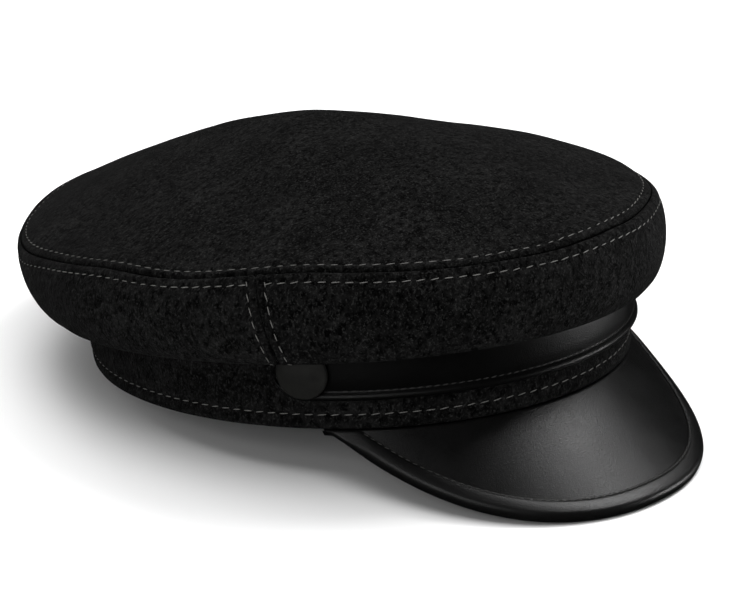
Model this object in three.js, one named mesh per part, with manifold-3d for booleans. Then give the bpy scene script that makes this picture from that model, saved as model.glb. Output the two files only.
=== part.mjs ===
// A peaked cap: a soft oval wool crown over an upright band, a leather strap between
// two buttons across the front, and a leather peak with a rolled binding.
// Lengths are in millimetres and +Z is up. The peak points to -Y and the wearer's left is +X.
// The cap rests by itself: the back of the band and the rim of the peak touch the plane z = 0.
// Angles run round the head in degrees, from the front (0) over the wearer's left (90) to the back (180).

import * as THREE from 'three';
import { mergeVertices } from 'three/addons/utils/BufferGeometryUtils.js';
import Module from 'manifold-3d';

// Head opening and band
const HEAD_HALF_WIDTH = 83;
const HEAD_HALF_LENGTH = 100;
const BAND_WALL = 3.5;
const BAND_HEIGHT = 32.6;
const BAND_EDGE_ROUND = 0.8;
const BAND_BACK_FLARE = 4.4;
const BAND_HALF_WIDTH = HEAD_HALF_WIDTH + BAND_WALL;
const BAND_HALF_LENGTH = HEAD_HALF_LENGTH + BAND_WALL;
const GAP = 0.3;

// Crown
const CROWN_HALF_WIDTH = 102.2;
const CROWN_HALF_LENGTH = 125.3;
const CROWN_SHIFT = 7.7;
const CROWN_WALL = 2.3;
const CROWN_PEAK_HEIGHT = 80.3;
const CROWN_PEAK_SHIFT = 14.5;
const FOLD_INSET = 7.2;
const FOLD_SQUARENESS = 3;
const RETURN_HEIGHT = 30.2;
const RETURN_GAP = 0.4;
const SIDE_SEAM_TOP = 60.5;
const SIDE_SEAM_LOW = 58;
const SIDE_SEAM_GAP = 0.5;

// How the crown's measures change round the head:
// value = mean - lean * cos(angle) - saddle * cos(2 * angle) - taper * cos(3 * angle).
const CROWN = {
  widestHeight: { mean: 39.7, lean: 1.1, saddle: -2.0, taper: 1.1 },
  seamRise: { mean: 10.3, lean: -4.0, saddle: 0.9, taper: 0.7 },
  foldDrop: { mean: 15.1, lean: -0.5, saddle: 0.7, taper: 0 },
  seamInset: { mean: 4.4, lean: -1.1, saddle: 1.6, taper: 0 },
  domePower: { mean: 1.61, lean: -0.38, saddle: -0.21, taper: 0 },
};

// Where the top seam sinks towards the widest line and the top rounds over above it
const CORNERS = [
  { angle: -130, spread: 18, sink: 3.3, draw: 2.6 },
  { angle: 130, spread: 18, sink: 3.3, draw: 2.6 },
  { angle: 56, spread: 22, sink: 3, draw: 2.1 },
];
const CORNER_EDGE = 3;
const SHOULDER_POWER = 24;

// Where the soft top seam rides up or sags: angle and spread in degrees, lift in millimetres
const SEAM_WAVES = [
  { angle: -124, spread: 11, lift: 0.8 },
  { angle: -91, spread: 8, lift: 0.9 },
  { angle: -74, spread: 9, lift: -0.9 },
  { angle: -52, spread: 8, lift: 1.0 },
  { angle: 4, spread: 10, lift: 0.9 },
  { angle: 58, spread: 10, lift: 0.7 },
  { angle: 82, spread: 12, lift: -0.8 },
  { angle: 150, spread: 12, lift: -0.8 },
  { angle: 187, spread: 22, lift: 1.1 },
];

// Soft dents in the domed top: place, reach and depth, where a negative depth is a swelling
const TOP_DENTS = [
  { x: -56, y: 66, reach: 20, depth: -1.5 },
  { x: -24, y: 38, reach: 14, depth: 0.8 },
  { x: 0, y: 15, reach: 14, depth: -0.8 },
  { x: 33, y: -17, reach: 16, depth: 1.4 },
  { x: 60, y: -45, reach: 17, depth: -0.8 },
  { x: 46, y: 54, reach: 22, depth: 1.2 },
  { x: -50, y: -34, reach: 20, depth: 0.7 },
];

const DENT_EDGE_POWER = 4;

// Chin strap
const STRAP_LOW = 10.2;
const STRAP_HEIGHT = 19;
const STRAP_THICKNESS = 1.6;
const STRAP_TIP_HALF_HEIGHT = 2.4;

// The strap's section: share of the height from its lower edge, and how far its face stands out
const STRAP_SECTION = [
  { up: 0, out: 0.9 },
  { up: 0.035, out: 1.7 },
  { up: 0.075, out: 2.0 },
  { up: 0.125, out: 1.75 },
  { up: 0.16, out: 1.5 },
  { up: 0.96, out: 1.5 },
  { up: 1, out: 0.9 },
];

// Buttons
const BUTTON_ANGLE = 56.7;
const BUTTON_RADIUS = 8.5;
const BUTTON_HEIGHT = STRAP_LOW + STRAP_HEIGHT / 2;
const BUTTON_BACK = GAP + STRAP_THICKNESS + 0.7;
const BUTTON_EDGE = 1.0;
const BUTTON_DOME = 2.4;
const POST_RADIUS = 1.5;

// Peak and its binding
const PEAK_LENGTH = 43.9;
const PEAK_FULLNESS = 2.4;
const PEAK_TAPER = 1.25;
const PEAK_END_ANGLE = 54.2;
const PEAK_CUT_ANGLE = 51.8;
const PEAK_SLOPE_FRONT = 39.9;
const PEAK_SLOPE_GAIN = 18.4;
const PEAK_FORWARD = 0.456;
const PEAK_THICKNESS = 2;
const SKIVED_WIDTH = 10;
const SKIVED_LEAST = 0.4;
const BINDING_WIDTH = 7;
const RIM_ARC_PER_DEGREE = 1.8;
const BINDING_LEATHER = 0.95;
const BINDING_BAND_CLEARANCE = 0.5;

// How finely each piece is faceted
const ROUND_STEPS = 60;
const FRONT_STEPS = 20;
const TOP_RINGS = 7;
const SIDE_ROWS = { rise: 3, drop: 4, back: 4 };
const SEAM_LEAN_ROWS = 5;
const STRAP_TIP_STEPS = 4;
const STRAP_STEPS = 28;
const PEAK_STEPS = 32;
const PEAK_ROWS = 6;
const BINDING_LEG_ROWS = 1;
const BINDING_NOSE_ROWS = 5;
const BUTTON_SIDES = 18;
const POST_SIDES = 10;
const MERGE_DISTANCE = 1e-3;
const SETTLING_ROUNDS = 30;

const { degToRad, clamp, lerp } = THREE.MathUtils;
const manifold = await Module();
manifold.setup();

// Shared shape helpers

const cosine = (degrees) => Math.cos(degToRad(degrees));
const sine = (degrees) => Math.sin(degToRad(degrees));

function ovalPoint(halfWidth, halfLength, angle, shift = 0) {
  return new THREE.Vector2(halfWidth * sine(angle), shift - halfLength * cosine(angle));
}

function ovalNormal(halfWidth, halfLength, angle) {
  return new THREE.Vector2(sine(angle) / halfWidth, -cosine(angle) / halfLength).normalize();
}

function varied({ mean, lean, saddle, taper }, angle) {
  return mean - lean * cosine(angle) - saddle * cosine(2 * angle) - taper * cosine(3 * angle);
}

function bump(distance, reach) {
  return Math.exp(-((distance / reach) ** 2));
}

// A closed mesh of a geometry whose shared points are merged, with its faces pointing out
function closed(geometry) {
  geometry.deleteAttribute('normal');
  geometry.deleteAttribute('uv');
  const merged = mergeVertices(geometry, MERGE_DISTANCE);
  const points = merged.getAttribute('position');
  const corners = Array.from(merged.getIndex().array);
  const triangles = [];
  let volume = 0;
  const [a, b, c] = [new THREE.Vector3(), new THREE.Vector3(), new THREE.Vector3()];
  for (let i = 0; i < corners.length; i += 3) {
    const [p, q, r] = corners.slice(i, i + 3);
    if (p !== q && q !== r && r !== p) {
      triangles.push([p, q, r]);
      a.fromBufferAttribute(points, p);
      b.fromBufferAttribute(points, q);
      c.fromBufferAttribute(points, r);
      volume += a.dot(b.cross(c));
    }
  }
  const turned = volume < 0 ? triangles.map(([p, q, r]) => [p, r, q]) : triangles;
  merged.setIndex(turned.flat());
  merged.computeVertexNormals();
  return merged;
}

// Moves every point of a standard geometry to the place that a function gives it
function bend(geometry, place) {
  const points = geometry.getAttribute('position');
  for (let i = 0; i < points.count; i += 1) {
    const moved = place(points.getX(i), points.getY(i), points.getZ(i));
    points.setXYZ(i, moved.x, moved.y, moved.z);
  }
  return closed(geometry);
}

// A block of one unit whose sides become a strip's length (along), its wall (depth) and its height (up)
function bentStrip(steps, rows, place) {
  const block = new THREE.BoxGeometry(1, 1, 1, steps, 1, rows);
  return bend(block, (x, y, z) => place(x + 0.5, y + 0.5, z + 0.5));
}

// A turned shape whose radius and height become what a function makes of them at each angle
function bentRound(profile, steps, place) {
  const turned = new THREE.LatheGeometry(profile, steps);
  turned.rotateX(Math.PI / 2);
  return bend(turned, (x, y, z) => place(THREE.MathUtils.radToDeg(Math.atan2(x, -y)), Math.hypot(x, y), z));
}

function solid(geometry) {
  const vertProperties = new Float32Array(geometry.getAttribute('position').array);
  const triVerts = new Uint32Array(geometry.getIndex().array);
  return new manifold.Manifold(new manifold.Mesh({ numProp: 3, vertProperties, triVerts }));
}

function cut(geometry, tools) {
  const rest = tools.reduce((piece, tool) => piece.subtract(solid(tool)), solid(geometry));
  const { vertProperties, triVerts } = rest.getMesh();
  const result = new THREE.BufferGeometry();
  result.setAttribute('position', new THREE.BufferAttribute(vertProperties, 3));
  result.setIndex(new THREE.BufferAttribute(triVerts, 1));
  return closed(result);
}

// Head band: an oval ring of stiffened wool, square at the seat of the peak and rounded above

// The soft band flares out towards its top, most of all at the back
function bandFlare(angle, height) {
  return (BAND_BACK_FLARE * Math.max(height, 0) / BAND_HEIGHT) * ((1 - cosine(angle)) / 2) ** 2;
}

function bandPoint(angle, out, height) {
  const base = ovalPoint(BAND_HALF_WIDTH, BAND_HALF_LENGTH, angle);
  const reach = out + bandFlare(angle, height);
  base.addScaledVector(ovalNormal(BAND_HALF_WIDTH, BAND_HALF_LENGTH, angle), reach);
  return new THREE.Vector3(base.x, base.y, height);
}

function headBand() {
  const inner = BAND_WALL;
  const profile = [
    new THREE.Vector2(inner, 0),
    new THREE.Vector2(2 * inner, 0),
    new THREE.Vector2(2 * inner, BAND_HEIGHT - BAND_EDGE_ROUND),
    new THREE.Vector2(2 * inner - BAND_EDGE_ROUND, BAND_HEIGHT),
    new THREE.Vector2(inner, BAND_HEIGHT),
    new THREE.Vector2(inner, 0),
  ];
  return bentRound(profile, ROUND_STEPS, (angle, radius, height) => bandPoint(angle, radius - 2 * inner, height));
}

// Crown: side panels that bulge over the band and fold under to it, and a domed top

function turnedAway(angle, middle) {
  return ((angle - middle + 540) % 360) - 180;
}

// How far the corners let the top seam sink at an angle, and draw it outwards
function cornerAt(angle) {
  const total = { sink: 0, draw: 0 };
  for (const { angle: middle, spread, sink, draw } of CORNERS) {
    const share = Math.exp(-((Math.abs(turnedAway(angle, middle)) / spread) ** CORNER_EDGE));
    total.sink += share * sink;
    total.draw += share * draw;
  }
  return total;
}

function crownRing(angle) {
  const wave = SEAM_WAVES.reduce((sum, { angle: middle, spread, lift }) => {
    return sum + lift * bump(turnedAway(angle, middle), spread);
  }, 0);
  const widest = varied(CROWN.widestHeight, angle);
  const corner = cornerAt(angle);
  return {
    edge: ovalPoint(CROWN_HALF_WIDTH, CROWN_HALF_LENGTH, angle, CROWN_SHIFT),
    normal: ovalNormal(CROWN_HALF_WIDTH, CROWN_HALF_LENGTH, angle),
    widest,
    seamRise: varied(CROWN.seamRise, angle) + wave - corner.sink,
    seamInset: varied(CROWN.seamInset, angle) - corner.draw,
    fold: widest - varied(CROWN.foldDrop, angle),
  };
}

// The way in from the crown's widest line to the band, along the crown's own normal
function reachToBand({ edge, normal }) {
  const halfWidth = BAND_HALF_WIDTH + RETURN_GAP;
  const halfLength = BAND_HALF_LENGTH + RETURN_GAP;
  const start = new THREE.Vector2(edge.x / halfWidth, edge.y / halfLength);
  const step = new THREE.Vector2(-normal.x / halfWidth, -normal.y / halfLength);
  const along = start.dot(step);
  const length = step.lengthSq();
  const reach = (-along - Math.sqrt(along * along - length * (start.lengthSq() - 1))) / length;
  const hit = start.addScaledVector(step, reach);
  const bandAngle = THREE.MathUtils.radToDeg(Math.atan2(hit.x, -hit.y));
  return reach - bandFlare(bandAngle, BAND_HEIGHT);
}

// The side panel's section: row counts down from the top seam, over the widest line and the
// fold, and back up to the band. depth is 0 on the outer face and 1 on the inner one.
function sidePoint(angle, row, depth) {
  const ring = crownRing(angle);
  const wall = CROWN_WALL * depth;
  let inset;
  let height;
  if (row <= SIDE_ROWS.rise) {
    const turn = 90 * (1 - row / SIDE_ROWS.rise);
    inset = wall + (ring.seamInset - wall) * (1 - cosine(turn));
    height = ring.widest + (ring.seamRise - wall) * sine(turn);
  } else if (row <= SIDE_ROWS.rise + SIDE_ROWS.drop) {
    const turn = (90 * (row - SIDE_ROWS.rise)) / SIDE_ROWS.drop;
    inset = wall + (FOLD_INSET - 2 * wall) * (1 - cosine(turn));
    height = ring.widest - (ring.widest - ring.fold - wall) * sine(turn);
  } else {
    const turn = (90 * (row - SIDE_ROWS.rise - SIDE_ROWS.drop)) / SIDE_ROWS.back;
    const inward = 1 - Math.max(cosine(turn), 0) ** (2 / FOLD_SQUARENESS);
    const upward = sine(turn) ** (2 / FOLD_SQUARENESS);
    inset = FOLD_INSET - wall + (reachToBand(ring) - FOLD_INSET + wall) * inward;
    height = ring.fold + wall + (RETURN_HEIGHT - ring.fold) * upward;
  }
  const place = ring.edge.clone().addScaledVector(ring.normal, -inset);
  return new THREE.Vector3(place.x, place.y, height);
}

// A side panel between two side seams, which lean forward as they go down
function sidePanel(steps, startSign, endSign, turns) {
  const rows = SIDE_ROWS.rise + SIDE_ROWS.drop + SIDE_ROWS.back;
  const seamGap = THREE.MathUtils.radToDeg(SIDE_SEAM_GAP / 2 / CROWN_HALF_LENGTH);
  return bentStrip(steps, rows, (along, depth, up) => {
    const row = rows * (1 - up);
    const seam = lerp(SIDE_SEAM_TOP, SIDE_SEAM_LOW, clamp(row / SEAM_LEAN_ROWS, 0, 1));
    const start = startSign * seam + seamGap;
    const end = endSign * seam + 360 * turns - seamGap;
    return sidePoint(lerp(start, end, along), row, depth);
  });
}

function topHeight(angle, share, seam) {
  const power = varied(CROWN.domePower, angle);
  const x = lerp(0, seam.x, share);
  const y = lerp(CROWN_PEAK_SHIFT, seam.y, share);
  const dent = TOP_DENTS.reduce((sum, { x: middleX, y: middleY, reach, depth }) => {
    return sum + depth * bump(Math.hypot(x - middleX, y - middleY), reach);
  }, 0);
  const shoulder = cornerAt(angle).sink;
  const dome = (CROWN_PEAK_HEIGHT - seam.z - shoulder) * (1 - share ** power);
  const height = seam.z + dome + shoulder * (1 - share ** SHOULDER_POWER);
  return new THREE.Vector3(x, y, height - dent * (1 - share ** DENT_EDGE_POWER));
}

function crownTop() {
  const shares = Array.from({ length: TOP_RINGS + 1 }, (_, i) => Math.sin((Math.PI / 2) * (i / TOP_RINGS)));
  const under = shares.map((share) => new THREE.Vector2(share, 0));
  const over = shares.map((share) => new THREE.Vector2(share, 1)).reverse();
  return bentRound([...under, ...over], ROUND_STEPS, (angle, share, side) => {
    const seam = sidePoint(angle, 0, 0);
    const { normal } = crownRing(angle);
    seam.x -= GAP * normal.x;
    seam.y -= GAP * normal.y;
    const point = topHeight(angle, share, seam);
    point.z -= CROWN_WALL * (1 - side);
    return point;
  });
}

// Chin strap: a leather strip with round ends that lie under the buttons

function arcAngle(distance) {
  const radius = (BAND_HALF_WIDTH + BAND_HALF_LENGTH) / 2;
  return THREE.MathUtils.radToDeg(distance / radius);
}

function strapStations() {
  const half = STRAP_HEIGHT / 2;
  const stations = [];
  for (let i = 0; i <= STRAP_TIP_STEPS; i += 1) {
    const halfHeight = lerp(STRAP_TIP_HALF_HEIGHT, half, i / STRAP_TIP_STEPS);
    const past = Math.sqrt(half * half - halfHeight * halfHeight);
    stations.push({ angle: -BUTTON_ANGLE - arcAngle(past), halfHeight });
  }
  const tip = stations.slice();
  for (let i = 1; i < STRAP_STEPS; i += 1) {
    stations.push({ angle: lerp(-BUTTON_ANGLE, BUTTON_ANGLE, i / STRAP_STEPS), halfHeight: half });
  }
  tip.reverse().forEach(({ angle, halfHeight }) => stations.push({ angle: -angle, halfHeight }));
  return stations;
}

function postTool(side, radius) {
  const length = BAND_WALL + BUTTON_BACK + BUTTON_DOME;
  const tool = new THREE.CylinderGeometry(radius, radius, 2 * length, POST_SIDES);
  return closed(tool.applyMatrix4(buttonPlace(side)));
}

function chinStrap() {
  const stations = strapStations();
  const rows = STRAP_SECTION.length - 1;
  const strip = bentStrip(stations.length - 1, rows, (along, depth, up) => {
    const { angle, halfHeight } = stations[Math.round(along * (stations.length - 1))];
    const { up: share, out } = STRAP_SECTION[Math.round(up * rows)];
    const height = BUTTON_HEIGHT + halfHeight * (2 * share - 1);
    return bandPoint(angle, depth > 0.5 ? GAP : GAP + out, height);
  });
  return cut(strip, [-1, 1].map((side) => postTool(side, POST_RADIUS + GAP)));
}

// Buttons: a flat domed disc on a post that goes through the strap and the band

function buttonPlace(side) {
  const angle = side * BUTTON_ANGLE;
  const middle = bandPoint(angle, 0, BUTTON_HEIGHT);
  const out = ovalNormal(BAND_HALF_WIDTH, BAND_HALF_LENGTH, angle);
  const outward = new THREE.Vector3(out.x, out.y, 0);
  const upward = new THREE.Vector3(0, 0, 1);
  const across = new THREE.Vector3().crossVectors(outward, upward);
  return new THREE.Matrix4().makeBasis(across, outward, upward).setPosition(middle);
}

function button() {
  const edge = BUTTON_BACK + BUTTON_EDGE;
  const profile = [
    new THREE.Vector2(0, GAP - BAND_WALL),
    new THREE.Vector2(POST_RADIUS, GAP - BAND_WALL),
    new THREE.Vector2(POST_RADIUS, BUTTON_BACK),
    new THREE.Vector2(0.94 * BUTTON_RADIUS, BUTTON_BACK),
    new THREE.Vector2(BUTTON_RADIUS, BUTTON_BACK + 0.3),
    new THREE.Vector2(BUTTON_RADIUS, edge),
  ];
  for (const share of [0.93, 0.7, 0.36, 0]) {
    const rise = BUTTON_DOME - BUTTON_EDGE;
    profile.push(new THREE.Vector2(share * BUTTON_RADIUS, edge + rise * (1 - share * share)));
  }
  return closed(new THREE.LatheGeometry(profile, BUTTON_SIDES));
}

// Peak: a curved sheet of leather that slopes down and forward from under the band

function peakWidth(angle) {
  const share = clamp(Math.abs(angle) / PEAK_END_ANGLE, 0, 1);
  return PEAK_LENGTH * (1 - share ** PEAK_FULLNESS) ** PEAK_TAPER;
}

// How much longer a width square to the rim becomes when it is measured down the peak's slope
function rimSlant(angle) {
  const change = (peakWidth(angle + 0.5) - peakWidth(angle - 0.5)) / RIM_ARC_PER_DEGREE;
  return Math.hypot(1, change);
}

function skived(angle) {
  return clamp(peakWidth(angle) / SKIVED_WIDTH, SKIVED_LEAST, 1);
}

// The peak's own directions at an angle: forward in plan, down its slope, and square to its face
function peakFrame(angle) {
  const forward = ovalNormal(BAND_HALF_WIDTH, BAND_HALF_LENGTH, angle).multiplyScalar(1 - PEAK_FORWARD);
  forward.y -= PEAK_FORWARD;
  forward.normalize();
  const slope = PEAK_SLOPE_FRONT + PEAK_SLOPE_GAIN * (angle / PEAK_END_ANGLE) ** 2;
  const root = ovalPoint(BAND_HALF_WIDTH, BAND_HALF_LENGTH, angle);
  return {
    slope,
    root: new THREE.Vector3(root.x, root.y, -GAP),
    plan: new THREE.Vector3(forward.x, forward.y, 0),
    down: new THREE.Vector3(forward.x * cosine(slope), forward.y * cosine(slope), -sine(slope)),
    square: new THREE.Vector3(forward.x * sine(slope), forward.y * sine(slope), cosine(slope)),
  };
}

function bindingRadii(angle) {
  const inner = (PEAK_THICKNESS * skived(angle)) / 2 + GAP;
  return { inner, outer: inner + BINDING_LEATHER * skived(angle) };
}

function peak() {
  return bentStrip(PEAK_STEPS, PEAK_ROWS, (along, depth, up) => {
    const angle = lerp(-PEAK_CUT_ANGLE, PEAK_CUT_ANGLE, along);
    const { slope, root, plan, down } = peakFrame(angle);
    const length = peakWidth(angle) - bindingRadii(angle).outer * rimSlant(angle);
    const level = (depth * PEAK_THICKNESS * skived(angle)) / sine(slope);
    return root.addScaledVector(down, (1 - up) * length).addScaledVector(plan, -level);
  });
}

// Peak binding: a strip rolled round the rim, with a leg above, a round nose and a leg below

function bindingPoint(angle, depth, row) {
  const { root, down, square } = peakFrame(angle);
  const { inner, outer } = bindingRadii(angle);
  const radius = depth < 0.5 ? outer : inner;
  const width = peakWidth(angle);
  const slant = rimSlant(angle);
  const legStart = Math.max(width - BINDING_WIDTH * slant, BINDING_BAND_CLEARANCE);
  const noseStart = width - outer * slant;
  const turn = clamp((row - BINDING_LEG_ROWS) / BINDING_NOSE_ROWS, 0, 1) * 180;
  const leg = Math.max(BINDING_LEG_ROWS - row, row - BINDING_LEG_ROWS - BINDING_NOSE_ROWS, 0) / BINDING_LEG_ROWS;
  const along = lerp(noseStart + radius * slant * sine(turn), legStart, leg);
  const lift = radius * cosine(turn) - (PEAK_THICKNESS * skived(angle)) / 2;
  return root.addScaledVector(down, along).addScaledVector(square, lift);
}

function peakBinding() {
  const rows = 2 * BINDING_LEG_ROWS + BINDING_NOSE_ROWS;
  return bentStrip(PEAK_STEPS, rows, (along, depth, up) => {
    const angle = lerp(-PEAK_CUT_ANGLE, PEAK_CUT_ANGLE, along);
    return bindingPoint(angle, depth, rows * (1 - up));
  });
}

// Materials

const wool = { color: 0x1c1c1d, roughness: 0.95, metalness: 0 };
const leather = { color: 0x141414, roughness: 0.42, metalness: 0 };
const gunmetal = { color: 0x4c4d4b, roughness: 0.45, metalness: 0.8 };

function piece(name, geometry, finish) {
  const mesh = new THREE.Mesh(geometry, new THREE.MeshStandardMaterial(finish));
  mesh.name = name;
  return mesh;
}

function placedButton(name, side) {
  const mesh = piece(name, button(), gunmetal);
  mesh.applyMatrix4(buttonPlace(side));
  return mesh;
}

// Assembly

function lowest(mesh) {
  mesh.updateWorldMatrix(true, false);
  return new THREE.Box3().setFromObject(mesh, true).min.z;
}

const band = piece('head_band', cut(headBand(), [-1, 1].map((side) => postTool(side, POST_RADIUS + GAP))), wool);
const rim = piece('peak_binding', peakBinding(), leather);
const cap = new THREE.Group();
cap.add(
  band,
  piece('crown_top', crownTop(), wool),
  piece('crown_front', sidePanel(FRONT_STEPS, -1, 1, 0), wool),
  piece('crown_back', sidePanel(ROUND_STEPS - FRONT_STEPS, 1, -1, 1), wool),
  piece('chin_strap', chinStrap(), leather),
  placedButton('button_right', -1),
  placedButton('button_left', 1),
  piece('peak', peak(), leather),
  rim,
);

const part = new THREE.Group();
part.add(cap);

// The cap leans back until the band and the peak's rim are equally low, and is then set down
for (let i = 0; i < SETTLING_ROUNDS; i += 1) {
  const difference = lowest(rim) - lowest(band);
  cap.rotation.x += difference / (BAND_HALF_LENGTH + BAND_HALF_LENGTH + PEAK_LENGTH);
}
cap.position.z -= lowest(band);
const footprint = new THREE.Box3().setFromObject(part, true);
cap.position.y -= (footprint.min.y + footprint.max.y) / 2;

export default part;
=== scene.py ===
# %% [markdown]
# # A wool cap with a leather peak
# This lesson dresses a finished CAD model of a peaked cap: an oval crown of black melton wool
# that overhangs an upright band, a leather strap between two dark metal buttons, and a curved
# leather peak with a rolled binding. The CAD model gives every size and place. What is left for
# Blender is what a hand would feel: the seams with their topstitching, the nap of the wool,
# the grain of the leather and the soft light on them.
# Two ways are open. The plain CAD solids could get materials as they are, but their facets and
# square seams would show. So each piece is made again on the same formulas, with a finer mesh.

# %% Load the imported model
import bmesh
import bpy
import math
import random
from mathutils import Matrix, Vector, noise


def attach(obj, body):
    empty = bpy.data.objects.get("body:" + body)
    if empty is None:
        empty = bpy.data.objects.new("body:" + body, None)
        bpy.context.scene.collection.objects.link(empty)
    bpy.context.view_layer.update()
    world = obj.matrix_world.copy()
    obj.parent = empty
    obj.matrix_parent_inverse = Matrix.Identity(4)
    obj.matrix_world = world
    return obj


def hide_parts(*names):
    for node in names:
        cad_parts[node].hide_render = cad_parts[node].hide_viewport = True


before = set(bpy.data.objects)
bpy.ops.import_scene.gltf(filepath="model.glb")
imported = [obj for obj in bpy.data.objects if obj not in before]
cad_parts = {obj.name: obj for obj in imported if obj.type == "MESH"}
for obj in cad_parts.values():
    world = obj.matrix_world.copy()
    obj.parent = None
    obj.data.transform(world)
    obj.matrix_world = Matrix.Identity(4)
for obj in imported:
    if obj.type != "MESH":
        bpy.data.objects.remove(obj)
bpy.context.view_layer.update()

# %% [markdown]
# ## Angles and ovals
# The cap is laid out round the head. An angle starts at the front, over the peak, and grows
# towards the wearer's left, as on the CAD drawing. Every ring of the cap is an oval, so a place is
# a point on an oval and a step along its normal. The whole cap leans back as it rests on its
# peak, so it is modelled upright first, and one matrix then sets it down.

# %% Angles, ovals and the resting place
LEAN = -7.2044
SEAT = Vector((0, 0.0008666, 0.0129798))
SEATED = Matrix.Translation(SEAT) @ Matrix.Rotation(math.radians(LEAN), 4, "X")


def cosine(degrees):
    return math.cos(math.radians(degrees))


def sine(degrees):
    return math.sin(math.radians(degrees))


def between(low, high, share):
    return low + (high - low) * share


def clamped(value, low=0.0, high=1.0):
    return max(low, min(high, value))


def bump(distance, reach):
    return math.exp(-((distance / reach) ** 2))


def oval_point(half_width, half_length, angle, shift=0.0):
    return Vector((half_width * sine(angle), shift - half_length * cosine(angle), 0))


def oval_normal(half_width, half_length, angle):
    return Vector((sine(angle) / half_width, -cosine(angle) / half_length, 0)).normalized()


print("The cap leans back", -LEAN, "degrees and its band starts", round(SEAT.z * 1000, 1), "mm up")

# %% [markdown]
# ## Sheets from a flat grid
# Cloth and leather start flat, and so do these pieces: a grid from bmesh is bent by a function
# that says where each of its points goes. A subdivision surface over a coarse cage would be
# smooth too, but a seam needs narrow rows beside it and wide ones elsewhere. Here the rows and
# columns are graded instead, fine near a sewn edge and coarser in the middle.

# %% Graded rows and bent grids
def graded(length, fine_reach, fine_step, coarse_step, both_ends=True):
    """Shares from 0 to 1 along a length, fine at its start and, if asked, at its end."""
    marks = [0.0]
    while marks[-1] < length:
        end_distance = length - marks[-1] if both_ends else length
        edge_distance = min(marks[-1], end_distance)
        growth = clamped((edge_distance - fine_reach) / fine_reach)
        marks.append(marks[-1] + between(fine_step, coarse_step, growth))
    return [mark / marks[-1] for mark in marks]


def bent_grid(columns, rows, place):
    """A grid whose columns run round the head and whose rows run down from the top."""
    bm = bmesh.new()
    across, down = len(columns) - 1, len(rows) - 1
    bmesh.ops.create_grid(bm, x_segments=across, y_segments=down, size=0.5)
    for vert in bm.verts:
        column = columns[round((vert.co.x + 0.5) * across)]
        row = rows[round((0.5 - vert.co.y) * down)]
        vert.co = place(column, row)
    bmesh.ops.transform(bm, matrix=SEATED, verts=bm.verts)
    return bm


def finished(bm, name, material, nodes=(), wall=0.0):
    """Turns a bmesh into a piece of the cap, with a wall on its inner side if one is asked for."""
    mesh = bpy.data.meshes.new(name)
    bm.to_mesh(mesh)
    bm.free()
    mesh.shade_smooth()
    mesh.materials.append(material)
    piece = bpy.data.objects.new(name, mesh)
    bpy.context.scene.collection.objects.link(piece)
    if wall:
        thickness = piece.modifiers.new("wall", "SOLIDIFY")
        thickness.thickness = wall
        thickness.offset = -1
    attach(piece, "root")
    if nodes:
        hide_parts(*nodes)
    print(name, len(mesh.polygons), "faces")
    return piece


# %% [markdown]
# ## A point and its normal
# Seams are low relief on a bent sheet, and stitches lie on that relief. Both need the direction
# square to the sheet. Measuring it from two small steps on the formula works for every piece,
# and needs no finished mesh.

# %% Relief and stitches on any surface
STEP_ROUND = 0.2
STEP_DOWN = 0.02


def surface_frame(surface, column, row):
    """The point of a surface and its outward normal, from two small steps either way."""
    around = surface(column + STEP_ROUND, row) - surface(column - STEP_ROUND, row)
    down = surface(column, row + STEP_DOWN) - surface(column, row - STEP_DOWN)
    return surface(column, row), down.cross(around).normalized()


def embossed(surface, relief):
    """A surface raised by a relief, in metres, along its own normal."""
    def raised(column, row):
        point, normal = surface_frame(surface, column, row)
        return point + normal * relief(column, row, point)
    return raised


# %% [markdown]
# ## How a topstitched seam lies
# On the real cap the two layers are sewn face to face, opened, and stitched down again on each
# side. So a seam is a narrow deep crease, a soft puffed ridge where the layers are folded back,
# a shallow groove where the thread pulls the cloth down, and then the flat cloth. Four bell curves
# over the distance from the crease make that section.

# %% The section of a seam
CREASE_DEPTH = 0.0011
CREASE_WIDTH = 0.0007
LEAST_CREASE = 0.12
RIDGE_HEIGHT = 0.00038
THREAD_DEPTH = 0.00036
THREAD_WIDTH = 0.0006
WOOL_PITCH = 0.0043
WOOL_STITCH = 0.0029


def seam_relief(distance, thread_at, along=0.0, puff=1.0, width=CREASE_WIDTH):
    pull = 0.75 + 0.25 * math.cos(2 * math.pi * along / WOOL_PITCH)
    crease = -CREASE_DEPTH * between(LEAST_CREASE, 1, puff) * bump(distance, width)
    ridge = RIDGE_HEIGHT * puff * bump(distance - 0.55 * thread_at, 0.38 * thread_at)
    groove = -THREAD_DEPTH * pull * bump(distance - thread_at, THREAD_WIDTH)
    swell = 0.5 * RIDGE_HEIGHT * puff * bump(distance - 1.7 * thread_at, 0.4 * thread_at)
    return crease + ridge + groove + swell


def soft_waves(point):
    """The slow unevenness of steamed cloth over a soft form."""
    return 0.0004 * noise.noise(point * 26) + 0.00016 * noise.noise(point * 85 + Vector((3, 1, 7)))


print("A seam is", CREASE_DEPTH * 1000, "mm deep with threads every", WOOL_PITCH * 1000, "mm")

# %% [markdown]
# ## The wool
# Melton is a heavy wool that is milled and brushed until its weave is hidden under a short nap.
# So there is no weave to draw: there are small clumps of fibre, a few lighter ends, and a faint
# glow at grazing angles. Noise on Object coordinates needs no unwrapping, and stays in the
# cloth from every side. The fine noise bends the surface, and the sheen is set on the shader.

# %% Material helpers
def new_material(name, roughness, specular):
    material = bpy.data.materials.new(name)
    material.use_nodes = True
    tree = material.node_tree
    shader = tree.nodes["Principled BSDF"]
    shader.inputs["Roughness"].default_value = roughness
    shader.inputs["Specular IOR Level"].default_value = specular
    return material, tree, shader


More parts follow.
